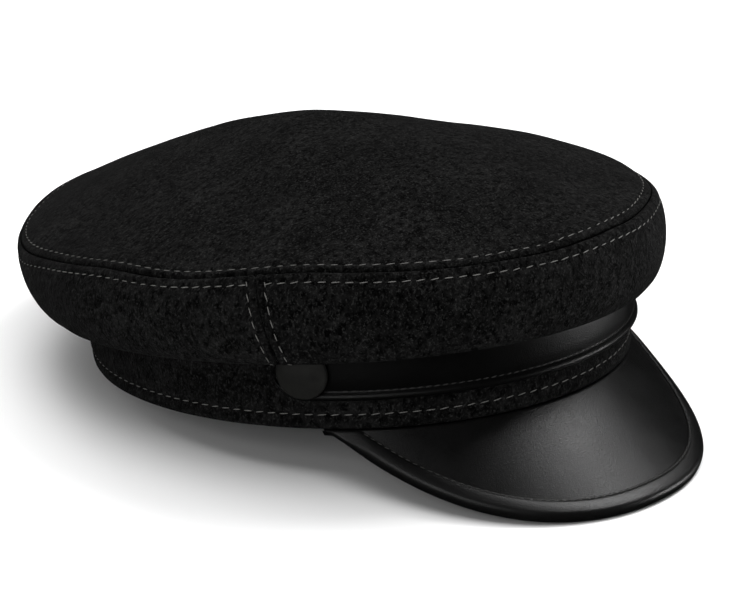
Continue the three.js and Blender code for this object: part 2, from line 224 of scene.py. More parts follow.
def object_space(tree, stretch=(1, 1, 1)):
    coordinates = tree.nodes.new("ShaderNodeTexCoord")
    mapping = tree.nodes.new("ShaderNodeMapping")
    mapping.inputs["Scale"].default_value = stretch
    tree.links.new(coordinates.outputs["Object"], mapping.inputs["Vector"])
    return mapping.outputs["Vector"]


def noise_field(tree, space, size, detail=4.0, roughness=0.6):
    """Noise whose clumps are about as large as the size, in metres."""
    field = tree.nodes.new("ShaderNodeTexNoise")
    field.inputs["Scale"].default_value = 1 / size
    field.inputs["Detail"].default_value = detail
    field.inputs["Roughness"].default_value = roughness
    tree.links.new(space, field.inputs["Vector"])
    return field.outputs["Fac"]


def remapped(tree, value, low, high, new_low, new_high):
    node = tree.nodes.new("ShaderNodeMapRange")
    node.inputs["From Min"].default_value = low
    node.inputs["From Max"].default_value = high
    node.inputs["To Min"].default_value = new_low
    node.inputs["To Max"].default_value = new_high
    tree.links.new(value, node.inputs["Value"])
    return node.outputs["Result"]


def combined(tree, operation, first, second):
    node = tree.nodes.new("ShaderNodeMath")
    node.operation = operation
    for socket, value in zip(node.inputs, (first, second)):
        if isinstance(value, float):
            socket.default_value = value
        else:
            tree.links.new(value, socket)
    return node.outputs["Value"]


def blended_colour(tree, share, dark, light):
    node = tree.nodes.new("ShaderNodeMix")
    node.data_type = "RGBA"
    node.inputs["A"].default_value = (*dark, 1)
    node.inputs["B"].default_value = (*light, 1)
    tree.links.new(share, node.inputs["Factor"])
    return node.outputs["Result"]


def bumped(tree, shader, height, depth, strength=1.0):
    node = tree.nodes.new("ShaderNodeBump")
    node.inputs["Strength"].default_value = strength
    node.inputs["Distance"].default_value = depth
    tree.links.new(height, node.inputs["Height"])
    tree.links.new(node.outputs["Normal"], shader.inputs["Normal"])


# %% Wool with a brushed nap
WOOL_DARK = (0.0001, 0.0001, 0.0001)
WOOL_LIGHT = (0.017, 0.017, 0.0167)


def wool_material():
    material, tree, shader = new_material("melton_wool", 0.95, 0.05)
    shader.inputs["Sheen Weight"].default_value = 0.02
    shader.inputs["Sheen Roughness"].default_value = 0.5
    shader.inputs["Sheen Tint"].default_value = (0.5, 0.5, 0.5, 1)
    nap_space = object_space(tree, (1, 1, 0.8))
    clumps = noise_field(tree, nap_space, 0.0021, 3, 0.65)
    fibres = noise_field(tree, nap_space, 0.00075, 3, 0.7)
    patches = noise_field(tree, object_space(tree), 0.020, 4, 0.6)
    tone = combined(tree, "MULTIPLY", remapped(tree, clumps, 0.38, 0.66, 0, 0.38),
                    remapped(tree, patches, 0.32, 0.68, 0.5, 1.4))
    ends = remapped(tree, fibres, 0.54, 0.72, 0, 1.3)
    shade = combined(tree, "ADD", tone, ends)
    tree.links.new(blended_colour(tree, shade, WOOL_DARK, WOOL_LIGHT), shader.inputs["Base Color"])
    height = combined(tree, "ADD", clumps, combined(tree, "MULTIPLY", fibres, 0.5))
    bumped(tree, shader, height, 0.0009)
    return material


WOOL = wool_material()
print("Made", WOOL.name)

# %% [markdown]
# ## The crown's shape
# The crown is an oval wider than the band. Its side rises a little over its widest line to the top
# seam, and drops to a soft fold that turns back under to the band. How far it does so changes
# slowly round the head, so each measure is a mean with a few cosines of the angle. A cloth
# simulation would give a crown too, but not this crown: milled wool holds the form it was
# steamed into.

# %% Measures of the band and the crown
BAND_HALF_WIDTH = 0.0865
BAND_HALF_LENGTH = 0.1035
BAND_WALL = 0.0035
BAND_HEIGHT = 0.0326
BAND_BACK_FLARE = 0.0044
GAP = 0.0003
CROWN_HALF_WIDTH = 0.1022
CROWN_HALF_LENGTH = 0.1253
CROWN_SHIFT = 0.0077
CROWN_WALL = 0.0023
CROWN_PEAK_HEIGHT = 0.0803
CROWN_PEAK_SHIFT = 0.0145
FOLD_INSET = 0.0072
FOLD_SQUARENESS = 3
RETURN_HEIGHT = 0.0302
RETURN_GAP = 0.0004
CROWN = {
    "widest_height": {"mean": 0.0397, "lean": 0.0011, "saddle": -0.0020, "taper": 0.0011},
    "seam_rise": {"mean": 0.0103, "lean": -0.0040, "saddle": 0.0009, "taper": 0.0007},
    "fold_drop": {"mean": 0.0151, "lean": -0.0005, "saddle": 0.0007, "taper": 0},
    "seam_inset": {"mean": 0.0044, "lean": -0.0011, "saddle": 0.0016, "taper": 0},
    "dome_power": {"mean": 1.61, "lean": -0.38, "saddle": -0.21, "taper": 0},
}
CORNERS = [
    {"angle": -130, "spread": 18, "sink": 0.0033, "draw": 0.0026},
    {"angle": 130, "spread": 18, "sink": 0.0033, "draw": 0.0026},
    {"angle": 56, "spread": 22, "sink": 0.0030, "draw": 0.0021},
]
CORNER_EDGE = 3
SHOULDER_POWER = 24
SEAM_WAVES = [
    {"angle": -124, "spread": 11, "lift": 0.0008},
    {"angle": -91, "spread": 8, "lift": 0.0009},
    {"angle": -74, "spread": 9, "lift": -0.0009},
    {"angle": -52, "spread": 8, "lift": 0.0010},
    {"angle": 4, "spread": 10, "lift": 0.0009},
    {"angle": 58, "spread": 10, "lift": 0.0007},
    {"angle": 82, "spread": 12, "lift": -0.0008},
    {"angle": 150, "spread": 12, "lift": -0.0008},
    {"angle": 187, "spread": 22, "lift": 0.0011},
]


def varied(measure, angle):
    row = CROWN[measure]
    cosines = row["lean"] * cosine(angle) + row["saddle"] * cosine(2 * angle)
    return row["mean"] - cosines - row["taper"] * cosine(3 * angle)


def turned_away(angle, middle):
    return (angle - middle + 540) % 360 - 180


def seam_wave(angle):
    return sum(wave["lift"] * bump(turned_away(angle, wave["angle"]), wave["spread"])
               for wave in SEAM_WAVES)


def corner_at(angle):
    """How far the corners let the top seam sink at an angle, and draw it outwards."""
    sink = draw = 0.0
    for corner in CORNERS:
        away = abs(turned_away(angle, corner["angle"]))
        share = math.exp(-((away / corner["spread"]) ** CORNER_EDGE))
        sink += share * corner["sink"]
        draw += share * corner["draw"]
    return sink, draw


def band_flare(angle, height):
    return BAND_BACK_FLARE * max(height, 0) / BAND_HEIGHT * ((1 - cosine(angle)) / 2) ** 2


# %% The crown's side panel, from the top seam to the band
RISE_ROWS = 3
DROP_ROWS = 4
RETURN_ROWS = 4
SIDE_ROWS = RISE_ROWS + DROP_ROWS + RETURN_ROWS


def reach_to_band(edge, normal):
    """How far in from the crown's widest line the band lies."""
    half_width = BAND_HALF_WIDTH + RETURN_GAP
    half_length = BAND_HALF_LENGTH + RETURN_GAP
    start = Vector((edge.x / half_width, edge.y / half_length))
    step = Vector((-normal.x / half_width, -normal.y / half_length))
    along, length = start.dot(step), step.length_squared
    reach = (-along - math.sqrt(along * along - length * (start.length_squared - 1))) / length
    hit = start + step * reach
    return reach - band_flare(math.degrees(math.atan2(hit.x, -hit.y)), BAND_HEIGHT)


def crown_side(angle, row):
    """The outer face: row counts from the top seam over the widest line and the fold."""
    edge = oval_point(CROWN_HALF_WIDTH, CROWN_HALF_LENGTH, angle, CROWN_SHIFT)
    normal = oval_normal(CROWN_HALF_WIDTH, CROWN_HALF_LENGTH, angle)
    widest = varied("widest_height", angle)
    fold = widest - varied("fold_drop", angle)
    if row <= RISE_ROWS:
        turn = 90 * (1 - row / RISE_ROWS)
        sink, draw = corner_at(angle)
        inset = (varied("seam_inset", angle) - draw) * (1 - cosine(turn))
        height = widest + (varied("seam_rise", angle) + seam_wave(angle) - sink) * sine(turn)
    elif row <= RISE_ROWS + DROP_ROWS:
        turn = 90 * (row - RISE_ROWS) / DROP_ROWS
        inset = FOLD_INSET * (1 - cosine(turn))
        height = widest - (widest - fold) * sine(turn)
    else:
        turn = min(90 * (row - RISE_ROWS - DROP_ROWS) / RETURN_ROWS, 90)
        inward = 1 - max(cosine(turn), 0) ** (2 / FOLD_SQUARENESS)
        upward = sine(turn) ** (2 / FOLD_SQUARENESS)
        inset = FOLD_INSET + (reach_to_band(edge, normal) - FOLD_INSET) * inward
        height = fold + (RETURN_HEIGHT - fold) * upward
    point = edge - normal * inset
    point.z = height
    return point


print("The crown is", 2000 * CROWN_HALF_WIDTH, "mm wide and",
      2000 * CROWN_HALF_LENGTH, "mm long")

# %% [markdown]
# ## The side panels
# The side is two pieces of wool: a short one over the peak and a long one round the back. They
# meet at a side seam on each side, which leans forward as it goes down, and that is where the
# columns are narrow. The relief adds the top seam and the side seam, and the folded lower edge
# stays plain and round. Close to the top seam it is raised along a plain rounded direction,
# because the panel's own normal is unsure where its top edge is drawn out. Round the front and
# right of the real cap the seam is puffed, and elsewhere the cloth runs smoothly over it.

# %% Make the two side panels
SIDE_SEAM_TOP = 60.5
SIDE_SEAM_LOW = 58
SEAM_LEAN_ROWS = 5
TOP_THREAD_BELOW = 0.0040
SIDE_THREAD = 0.0031
SIDE_ARC = 0.00209
PUFF_MIDDLE = -45
PUFF_REACH = 77
PUFF_FADE = 32
LEAST_PUFF = 0.1
SIDE_PUFF = 0.8
SIDE_CREASE_WIDTH = 0.00045
TOP_SEAM_ROWS = RISE_ROWS + 2
FAR_AWAY = 1.0
FINE_REACH = 0.006
FINE_STEP = 0.00055
COARSE_STEP = 0.0014


def side_seam_angle(row):
    return between(SIDE_SEAM_TOP, SIDE_SEAM_LOW, clamped(row / SEAM_LEAN_ROWS))


def round_distance(angle):
    """The way round the crown's widest line from the front, in metres."""
    return (angle / 360) * math.pi * (CROWN_HALF_WIDTH + CROWN_HALF_LENGTH)


def puff_at(angle):
    """How much the top seam is puffed: fully round the front and right, and little elsewhere."""
    away = abs(turned_away(angle, PUFF_MIDDLE))
    return clamped((PUFF_REACH - away) / PUFF_FADE, LEAST_PUFF, 1)


def side_relief(angle, row, point):
    down = (point - crown_side(angle, 0)).length if row < TOP_SEAM_ROWS else FAR_AWAY
    turned = turned_away(angle, 0)
    across = abs(abs(turned) - side_seam_angle(row)) * SIDE_ARC
    fading = clamped((RISE_ROWS + DROP_ROWS + 0.5 - row) / 1.5)
    top_seam = seam_relief(down, TOP_THREAD_BELOW, round_distance(angle), puff_at(angle))
    side_seam = seam_relief(across, SIDE_THREAD, row * TOP_THREAD_BELOW, SIDE_PUFF,
                            SIDE_CREASE_WIDTH) * fading
    return min(top_seam, side_seam) + max(top_seam, side_seam, 0) + soft_waves(point) * fading


def side_panel(start_sign, end_sign, turns):
    length = round_distance(2 * SIDE_SEAM_TOP if turns == 0 else 360 - 2 * SIDE_SEAM_TOP)
    columns = graded(length, FINE_REACH, FINE_STEP, COARSE_STEP)
    rows = graded(0.050, FINE_REACH, FINE_STEP, COARSE_STEP, both_ends=False)

    def surface(angle, row):
        point, normal = surface_frame(crown_side, angle, row)
        turn = 90 * clamped(1 - row / RISE_ROWS)
        outward = oval_normal(CROWN_HALF_WIDTH, CROWN_HALF_LENGTH, angle)
        rounded = outward * cosine(turn) + Vector((0, 0, sine(turn)))
        normal = (normal * (90 - turn) + rounded * turn).normalized()
        return point + normal * side_relief(angle, row, point)

    def place(column, row):
        depth = SIDE_ROWS * row
        seam = side_seam_angle(depth)
        angle = between(start_sign * seam, end_sign * seam + 360 * turns, column)
        return surface(angle, depth)
    return bent_grid(columns, rows, place)


finished(side_panel(-1, 1, 0), "front_side_panel", WOOL, ["crown_front"], CROWN_WALL)
finished(side_panel(1, -1, 1), "back_side_panel", WOOL, ["crown_back"], CROWN_WALL)

# %% [markdown]
# ## The top
# The top is one oval of wool, domed and highest a little behind the middle. A grid would give it
# corners, so it is spun: a row of points from the middle to the edge is turned once round, and
# each ring is then moved out to the crown's own edge. A few dents and swellings, placed as they
# lie on the real cap, keep it from looking pressed.

# %% Make the domed top
TOP_DENTS = [
    {"x": -0.050, "y": 0.060, "reach": 0.020, "depth": -0.0004},
    {"x": -0.024, "y": 0.038, "reach": 0.014, "depth": 0.0008},
    {"x": 0, "y": 0.015, "reach": 0.014, "depth": -0.0008},
    {"x": 0.033, "y": -0.017, "reach": 0.016, "depth": 0.0014},
    {"x": 0.060, "y": -0.045, "reach": 0.017, "depth": -0.0008},
    {"x": 0.046, "y": 0.054, "reach": 0.022, "depth": 0.0012},
    {"x": -0.050, "y": -0.034, "reach": 0.020, "depth": 0.0007},
]
DENT_EDGE_POWER = 4
DOME_SOFTNESS = 0.12
TOP_STEPS = 400
TOP_THREAD_ABOVE = 0.0031


def dome_share(share, power):
    """A power of the share, with its point at the middle rounded off."""
    low = DOME_SOFTNESS ** power
    high = (1 + DOME_SOFTNESS ** 2) ** (power / 2)
    return ((share ** 2 + DOME_SOFTNESS ** 2) ** (power / 2) - low) / (high - low)


def crown_top(angle, share):
    seam = crown_side(angle, 0) - oval_normal(CROWN_HALF_WIDTH, CROWN_HALF_LENGTH, angle) * GAP
    middle = Vector((0, CROWN_PEAK_SHIFT, 0))
    point = middle.lerp(Vector((seam.x, seam.y, 0)), share)
    dent = 0.0
    for hollow in TOP_DENTS:
        away = math.hypot(point.x - hollow["x"], point.y - hollow["y"])
        dent += hollow["depth"] * bump(away, hollow["reach"])
    shoulder = corner_at(angle)[0]
    dome = CROWN_PEAK_HEIGHT - seam.z - shoulder
    rise = dome * (1 - dome_share(share, varied("dome_power", angle)))
    point.z = seam.z + rise + shoulder * (1 - share ** SHOULDER_POWER)
    point.z -= dent * (1 - min(share, 1) ** DENT_EDGE_POWER)
    return point


def top_relief(angle, share, point):
    edge_distance = (point - crown_top(angle, 1)).length
    relief = soft_waves(point) * clamped(2.5 * share)
    return relief + seam_relief(edge_distance, TOP_THREAD_ABOVE, round_distance(angle),
                                puff_at(angle))


def spun_top():
    bm = bmesh.new()
    reach = (CROWN_HALF_WIDTH + CROWN_HALF_LENGTH) / 2
    shares = graded(reach, FINE_REACH, FINE_STEP, 0.0022, both_ends=False)
    chain = [bm.verts.new((0, share - 1, 0)) for share in shares]
    edges = [bm.edges.new(pair) for pair in zip(chain, chain[1:])]
    bmesh.ops.spin(bm, geom=chain + edges, cent=(0, 0, 0), axis=(0, 0, 1), angle=2 * math.pi,
                   steps=TOP_STEPS, use_merge=True)
    bmesh.ops.remove_doubles(bm, verts=bm.verts, dist=1e-6)
    surface = embossed(crown_top, top_relief)
    for vert in bm.verts:
        share = math.hypot(vert.co.x, vert.co.y)
        angle = math.degrees(math.atan2(vert.co.x, -vert.co.y))
        vert.co = surface(angle, share) if share > 0.02 else crown_top(angle, share)
    bmesh.ops.recalc_face_normals(bm, faces=bm.faces)
    bmesh.ops.transform(bm, matrix=SEATED, verts=bm.verts)
    return bm


finished(spun_top(), "domed_top", WOOL, ["crown_top"], CROWN_WALL)

# %% [markdown]
# ## The head band
# The band is a strip of wool folded over a stiffener, so both its edges are round, and one row of
# topstitching runs all round it a little above the lower edge. Its section is drawn once and
# spun, and the ring is then bent to the oval of the head, with a slight flare at the back.

# %% Make the head band
BAND_STEPS = 420
BAND_THREAD_UP = 0.0050
BAND_SECTION = [
    {"out": -BAND_WALL, "up": 0.0008}, {"out": -0.0030, "up": 0.0},
    {"out": -0.0012, "up": 0.0}, {"out": -0.0004, "up": 0.0003}, {"out": 0.0, "up": 0.0011},
    {"out": 0.00015, "up": 0.0022}, {"out": 0.0001, "up": 0.0034}, {"out": -0.0001, "up": 0.0043},
    {"out": -0.00035, "up": 0.0050}, {"out": -0.0001, "up": 0.0057}, {"out": 0.0001, "up": 0.0066},
    {"out": 0.0, "up": 0.0090}, {"out": 0.0, "up": 0.0160}, {"out": 0.0, "up": 0.0240},
    {"out": 0.0, "up": 0.0314}, {"out": -0.0010, "up": 0.0326}, {"out": -0.0025, "up": 0.0326},
    {"out": -BAND_WALL, "up": 0.0314}, {"out": -BAND_WALL, "up": 0.0160},
]


def band_point(angle, out, height):
    base = oval_point(BAND_HALF_WIDTH, BAND_HALF_LENGTH, angle)
    normal = oval_normal(BAND_HALF_WIDTH, BAND_HALF_LENGTH, angle)
    point = base + normal * (out + band_flare(angle, height))
    point.z = height
    return point


def spun_band():
    bm = bmesh.new()
    chain = [bm.verts.new((0, -1 - row["out"], row["up"])) for row in BAND_SECTION]
    edges = [bm.edges.new(pair) for pair in zip(chain, chain[1:] + chain[:1])]
    bmesh.ops.spin(bm, geom=chain + edges, cent=(0, 0, 0), axis=(0, 0, 1), angle=2 * math.pi,
                   steps=BAND_STEPS, use_merge=True)
    for vert in bm.verts:
        out = math.hypot(vert.co.x, vert.co.y) - 1
        angle = math.degrees(math.atan2(vert.co.x, -vert.co.y))
        vert.co = band_point(angle, out, vert.co.z)
    bmesh.ops.recalc_face_normals(bm, faces=bm.faces)
    bmesh.ops.transform(bm, matrix=SEATED, verts=bm.verts)
    return bm


finished(spun_band(), "wool_head_band", WOOL, ["head_band"])

# %% [markdown]
# ## Two leathers
# The strap is a smooth finished leather and the peak a firmer one with a fine pebble. In both the
# grain is small cells with soft creases between them, so a Voronoi pattern gives the relief.
# The gloss changes a little from place to place, as polish does, so the roughness has its own
# slow noise.

# %% Leather with a fine grain
def leather_material(name, grain, depth, gloss, specular, colour):
    material, tree, shader = new_material(name, gloss, specular)
    space = object_space(tree)
    cells = tree.nodes.new("ShaderNodeTexVoronoi")
    cells.inputs["Scale"].default_value = 1 / grain
    wander = noise_field(tree, space, 2.4 * grain, 2, 0.5)
    warped = tree.nodes.new("ShaderNodeVectorMath")
    warped.operation = "MULTIPLY_ADD"
    warped.inputs[1].default_value = (0.8 * grain, 0.8 * grain, 0.8 * grain)
    tree.links.new(wander, warped.inputs[0])
    tree.links.new(space, warped.inputs[2])
    tree.links.new(warped.outputs["Vector"], cells.inputs["Vector"])
    pores = noise_field(tree, space, 0.35 * grain, 3, 0.6)
    pits = combined(tree, "MULTIPLY", pores, 0.5)
    bumped(tree, shader, combined(tree, "ADD", cells.outputs["Distance"], pits), depth)
    polish = noise_field(tree, space, 0.018, 4, 0.6)
    rough = remapped(tree, polish, 0.3, 0.7, gloss - 0.04, gloss + 0.04)
    sparkle = remapped(tree, pores, 0.35, 0.65, -0.10, 0.10)
    tree.links.new(combined(tree, "ADD", rough, sparkle), shader.inputs["Roughness"])
    tint = blended_colour(tree, polish, (0.7 * colour,) * 3, (1.3 * colour,) * 3)
    tree.links.new(tint, shader.inputs["Base Color"])
    return material


STRAP_LEATHER = leather_material("strap_leather", 0.0004, 0.00006, 0.40, 0.32, 0.0015)
PEAK_LEATHER = leather_material("peak_leather", 0.0004, 0.00005, 0.33, 0.34, 0.003)
print("Made", STRAP_LEATHER.name, "and", PEAK_LEATHER.name)

# %% [markdown]
# ## The strap
# The strap lies flat on the band between the buttons. Its lower edge is rolled over a cord and
# catches the light, and its upper edge disappears under the crown. The section is one closed line,
# so the grid's first and last rows meet, and the two ends are closed with a face each. Under the
# buttons the strap ends in a half round, made by lessening its height.

# %% Make the strap
STRAP_LOW = 0.0102
STRAP_HEIGHT = 0.019
STRAP_MIDDLE = STRAP_LOW + STRAP_HEIGHT / 2
BUTTON_ANGLE = 56.7
TIP_HALF_HEIGHT = 0.0024
TIP_STEPS = 10
STRAP_STEPS = 300
STRAP_THREAD_UP = 0.0031
STRAP_SECTION = [
    {"up": 0.0192, "out": 0.0002}, {"up": 0.0190, "out": 0.0005}, {"up": 0.0184, "out": 0.0007},
    {"up": 0.0150, "out": 0.0013}, {"up": 0.0110, "out": 0.0016}, {"up": 0.0070, "out": 0.0016},
    {"up": 0.0044, "out": 0.0015}, {"up": 0.0036, "out": 0.0013}, {"up": 0.0031, "out": 0.0012},
    {"up": 0.0027, "out": 0.0015}, {"up": 0.0022, "out": 0.0021}, {"up": 0.0016, "out": 0.0025},
    {"up": 0.0009, "out": 0.0025}, {"up": 0.0003, "out": 0.0021}, {"up": 0.0, "out": 0.0013},
    {"up": 0.0, "out": 0.0005}, {"up": 0.0003, "out": 0.0}, {"up": 0.0095, "out": 0.0},
    {"up": 0.0188, "out": 0.0}, {"up": 0.0192, "out": 0.0002},
]


def arc_angle(distance):
    return math.degrees(distance / ((BAND_HALF_WIDTH + BAND_HALF_LENGTH) / 2))


def strap_stations():
    half = STRAP_HEIGHT / 2
    tip = []
    for step in range(TIP_STEPS + 1):
        half_height = between(TIP_HALF_HEIGHT, half, math.sin(step / TIP_STEPS * math.pi / 2))
        past = math.sqrt(max(half ** 2 - half_height ** 2, 0))
        tip.append((-BUTTON_ANGLE - arc_angle(past), half_height))
    inner = [(between(-BUTTON_ANGLE, BUTTON_ANGLE, step / STRAP_STEPS), half)
             for step in range(1, STRAP_STEPS)]
    return tip + inner + [(-angle, half_height) for angle, half_height in reversed(tip)]


def strap_mesh():
    def place(station, row):
        angle, half_height = station
        height = STRAP_MIDDLE + (2 * row["up"] / STRAP_HEIGHT - 1) * half_height
        return band_point(angle, GAP + row["out"], height)
    bm = bent_grid(strap_stations(), STRAP_SECTION, place)
    bmesh.ops.remove_doubles(bm, verts=bm.verts, dist=1e-6)
    bmesh.ops.holes_fill(bm, edges=[edge for edge in bm.edges if edge.is_boundary])
    bmesh.ops.recalc_face_normals(bm, faces=bm.faces)
    return bm


finished(strap_mesh(), "leather_strap", STRAP_LEATHER, ["chin_strap"])

# %% [markdown]
# ## The buttons
# Each button is a low dome of painted metal with a rounded edge, on a short post. Anything turned
# is quickest as a spin: half of the section, once round the axis. The button stands square to
# the strap, so a matrix made of the oval's own directions sets it in place.

# %% Painted gunmetal and the buttons
BUTTON_SECTION = [
    {"r": 0.0, "out": 0.0016}, {"r": 0.0015, "out": 0.0016}, {"r": 0.0015, "out": 0.0026},
    {"r": 0.0079, "out": 0.0026}, {"r": 0.00835, "out": 0.0028}, {"r": 0.0085, "out": 0.0032},
    {"r": 0.00845, "out": 0.0036}, {"r": 0.0082, "out": 0.0039}, {"r": 0.0077, "out": 0.0041},
    {"r": 0.0068, "out": 0.0043}, {"r": 0.0055, "out": 0.0046}, {"r": 0.0040, "out": 0.0048},
    {"r": 0.0020, "out": 0.00495}, {"r": 0.0, "out": 0.0050},
]
BUTTON_STEPS = 96


def gunmetal_material():
    material, tree, shader = new_material("painted_gunmetal", 0.42, 0.5)
    shader.inputs["Metallic"].default_value = 0.75
    space = object_space(tree)
    mottle = noise_field(tree, space, 0.004, 4, 0.6)
    fine = noise_field(tree, space, 0.0003, 3, 0.6)
    tint = blended_colour(tree, mottle, (0.024, 0.024, 0.023), (0.054, 0.054, 0.050))
    tree.links.new(tint, shader.inputs["Base Color"])
    tree.links.new(remapped(tree, mottle, 0.3, 0.7, 0.38, 0.5), shader.inputs["Roughness"])
    bumped(tree, shader, fine, 0.00002)
    return material


def button_mesh(side):
    bm = bmesh.new()
    chain = [bm.verts.new((row["r"], row["out"], 0)) for row in BUTTON_SECTION]
    edges = [bm.edges.new(pair) for pair in zip(chain, chain[1:])]
    bmesh.ops.spin(bm, geom=chain + edges, cent=(0, 0, 0), axis=(0, 1, 0), angle=2 * math.pi,
                   steps=BUTTON_STEPS, use_merge=True)
    bmesh.ops.remove_doubles(bm, verts=bm.verts, dist=1e-7)
    bmesh.ops.recalc_face_normals(bm, faces=bm.faces)
    outward = oval_normal(BAND_HALF_WIDTH, BAND_HALF_LENGTH, side * BUTTON_ANGLE)
    upward = Vector((0, 0, 1))
    turned = Matrix((outward.cross(upward), outward, upward)).transposed().to_4x4()
    middle = band_point(side * BUTTON_ANGLE, 0, STRAP_MIDDLE)
    place = SEATED @ Matrix.Translation(middle) @ turned
    bmesh.ops.transform(bm, matrix=place, verts=bm.verts)
    return bm


GUNMETAL = gunmetal_material()
finished(button_mesh(-1), "right_button", GUNMETAL, ["button_right"])
finished(button_mesh(1), "left_button", GUNMETAL, ["button_left"])

# %% [markdown]
# ## The peak
# The peak is one curved sheet of firm leather. It starts under the band, widest at the front, and
# slopes down steeper towards its ends, so each angle round the head has its own direction
# down the slope. Near the ends the leather is pared thin. A vertex group carries that to the
# Solidify modifier, which makes the lower face.

# %% Directions on the peak
PEAK_LENGTH = 0.0439
PEAK_FULLNESS = 2.4
PEAK_TAPER = 1.25
PEAK_END_ANGLE = 54.2
PEAK_CUT_ANGLE = 51.8
PEAK_SLOPE_FRONT = 39.9
PEAK_SLOPE_GAIN = 18.4
PEAK_FORWARD = 0.456
PEAK_THICKNESS = 0.002
SKIVED_WIDTH = 0.010
SKIVED_LEAST = 0.4
RIM_ARC_PER_DEGREE = 0.0018
BINDING_WIDTH = 0.007
BINDING_LEATHER = 0.00095


def peak_width(angle):
    share = clamped(abs(angle) / PEAK_END_ANGLE)
    return PEAK_LENGTH * (1 - share ** PEAK_FULLNESS) ** PEAK_TAPER


def rim_slant(angle):
    change = (peak_width(angle + 0.5) - peak_width(angle - 0.5)) / RIM_ARC_PER_DEGREE
    return math.hypot(1, change)


def skived(angle):
    return clamped(peak_width(angle) / SKIVED_WIDTH, SKIVED_LEAST, 1)


def peak_frame(angle):
    """The peak's root at an angle, its direction down the slope, and the one square to its face."""
    forward = oval_normal(BAND_HALF_WIDTH, BAND_HALF_LENGTH, angle) * (1 - PEAK_FORWARD)
    forward.y -= PEAK_FORWARD
    forward.normalize()
    slope = PEAK_SLOPE_FRONT + PEAK_SLOPE_GAIN * (angle / PEAK_END_ANGLE) ** 2
    root = oval_point(BAND_HALF_WIDTH, BAND_HALF_LENGTH, angle)
    root.z = -GAP
    down = Vector((forward.x * cosine(slope), forward.y * cosine(slope), -sine(slope)))
    square = Vector((forward.x * sine(slope), forward.y * sine(slope), cosine(slope)))
    return root, down, square


# %% Make the peak
PEAK_STEPS = 260
PEAK_ROWS = 60
PEAK_FLANGE = 0.0028


def thickness_group(piece, shares):
    """Lets the Solidify modifier thin the leather where the shares are under one."""
    group = piece.vertex_groups.new(name="leather_thickness")
    for index, share in enumerate(shares):
        group.add([index], share, "REPLACE")
    piece.modifiers["wall"].vertex_group = group.name


def binding_radii(angle):
    inner = PEAK_THICKNESS * skived(angle) / 2 + GAP
    return inner, inner + BINDING_LEATHER * skived(angle)


def even_shares(steps):
    return [step / steps for step in range(steps + 1)]


def peak_mesh():
    thin = []

    def place(column, row):
        angle = between(-PEAK_CUT_ANGLE, PEAK_CUT_ANGLE, column)
        root, down, _ = peak_frame(angle)
        length = peak_width(angle) - binding_radii(angle)[1] * rim_slant(angle)
        thin.append(skived(angle))
        if row < 0:
            return root - oval_normal(BAND_HALF_WIDTH, BAND_HALF_LENGTH, angle) * PEAK_FLANGE
        return root + down * (row * length)
    bm = bent_grid(even_shares(PEAK_STEPS), [-1] + even_shares(PEAK_ROWS), place)
    return bm, thin


peak_bm, peak_thin = peak_mesh()
peak = finished(peak_bm, "leather_peak", PEAK_LEATHER, ["peak"], PEAK_THICKNESS)
thickness_group(peak, peak_thin)

# %% [markdown]
# ## The binding
# A strip of the same leather is rolled round the peak's rim and stitched through near its inner
# edge. The stitches pull that edge down to the peak, and from there to the rim the leather
# rises in one soft curve, which is why a long highlight runs along it. At both ends the strip
# slides flat under the band, so its height is never more than the band's lower edge.

# %% Make the binding
BINDING_END_ANGLE = 54.1
NOSE_ROWS = 5
LEG_ROWS = 1
BINDING_THREAD = 0.0004
EDGE_TUCK = 0.00075
BINDING_GROOVE = 0.0002


def binding_outer(angle, row):
    """The binding's outer face: down the upper leg, round the nose and back under the peak."""
    root, down, square = peak_frame(angle)
    radius = binding_radii(angle)[1]
    width, slant = peak_width(angle), rim_slant(angle)
    leg_start = width - BINDING_WIDTH * slant
    nose_start = width - radius * slant
    turn = clamped((row - LEG_ROWS) / NOSE_ROWS) * 180
    leg = clamped(max(LEG_ROWS - row, row - LEG_ROWS - NOSE_ROWS, 0) / LEG_ROWS)
    along = between(nose_start + radius * slant * sine(turn), leg_start, leg)
    lift = radius * cosine(turn) - PEAK_THICKNESS * skived(angle) / 2
    if row <= LEG_ROWS:
        from_edge = (along - leg_start) / slant
        groove = BINDING_GROOVE * bump(from_edge - BINDING_THREAD, 0.0005)
        lift -= (EDGE_TUCK * leg ** 2 + groove) * skived(angle)
    point = root + down * along + square * lift
    point.z = min(point.z, -GAP / 2 - radius * (1 - cosine(turn)))
    return point


def binding_mesh():
    thin = []

    def place(column, row):
        angle = between(-BINDING_END_ANGLE, BINDING_END_ANGLE, column)
        pared = clamped(0.45 + 1.5 * row)
        thin.append(min(skived(angle), pared))
        return binding_outer(angle, row)
    leg = [LEG_ROWS * step / 20 for step in range(20)]
    nose = [LEG_ROWS + NOSE_ROWS * step / 16 for step in range(17)]
    lower = [LEG_ROWS + NOSE_ROWS + LEG_ROWS * step / 6 for step in range(1, 7)]
    return bent_grid(even_shares(320), leg + nose + lower, place), thin


binding_bm, binding_thin = binding_mesh()
binding = finished(binding_bm, "leather_binding", PEAK_LEATHER,
                   ["peak_binding"], BINDING_LEATHER)
thickness_group(binding, binding_thin)

# %% [markdown]
# ## The thread
# A stitch is a short piece of thread that comes up, lies on the cloth and goes down again. At this
# size a lengthened ball of a few dozen faces shows that: round in the middle and sunk at both
# ends. Each row follows a path on the embossed surface, is measured along that path, and all its
# stitches are joined in one mesh. A touch of seeded chance turns each one a little.

# %% Thread materials and rows of stitches
def thread_material(name, dark, light):
    material, tree, shader = new_material(name, 0.6, 0.3)
    space = object_space(tree)
    twist = noise_field(tree, space, 0.0005, 3, 0.6)
    tree.links.new(blended_colour(tree, twist, dark, light), shader.inputs["Base Color"])
    bumped(tree, shader, twist, 0.00008)
    return material


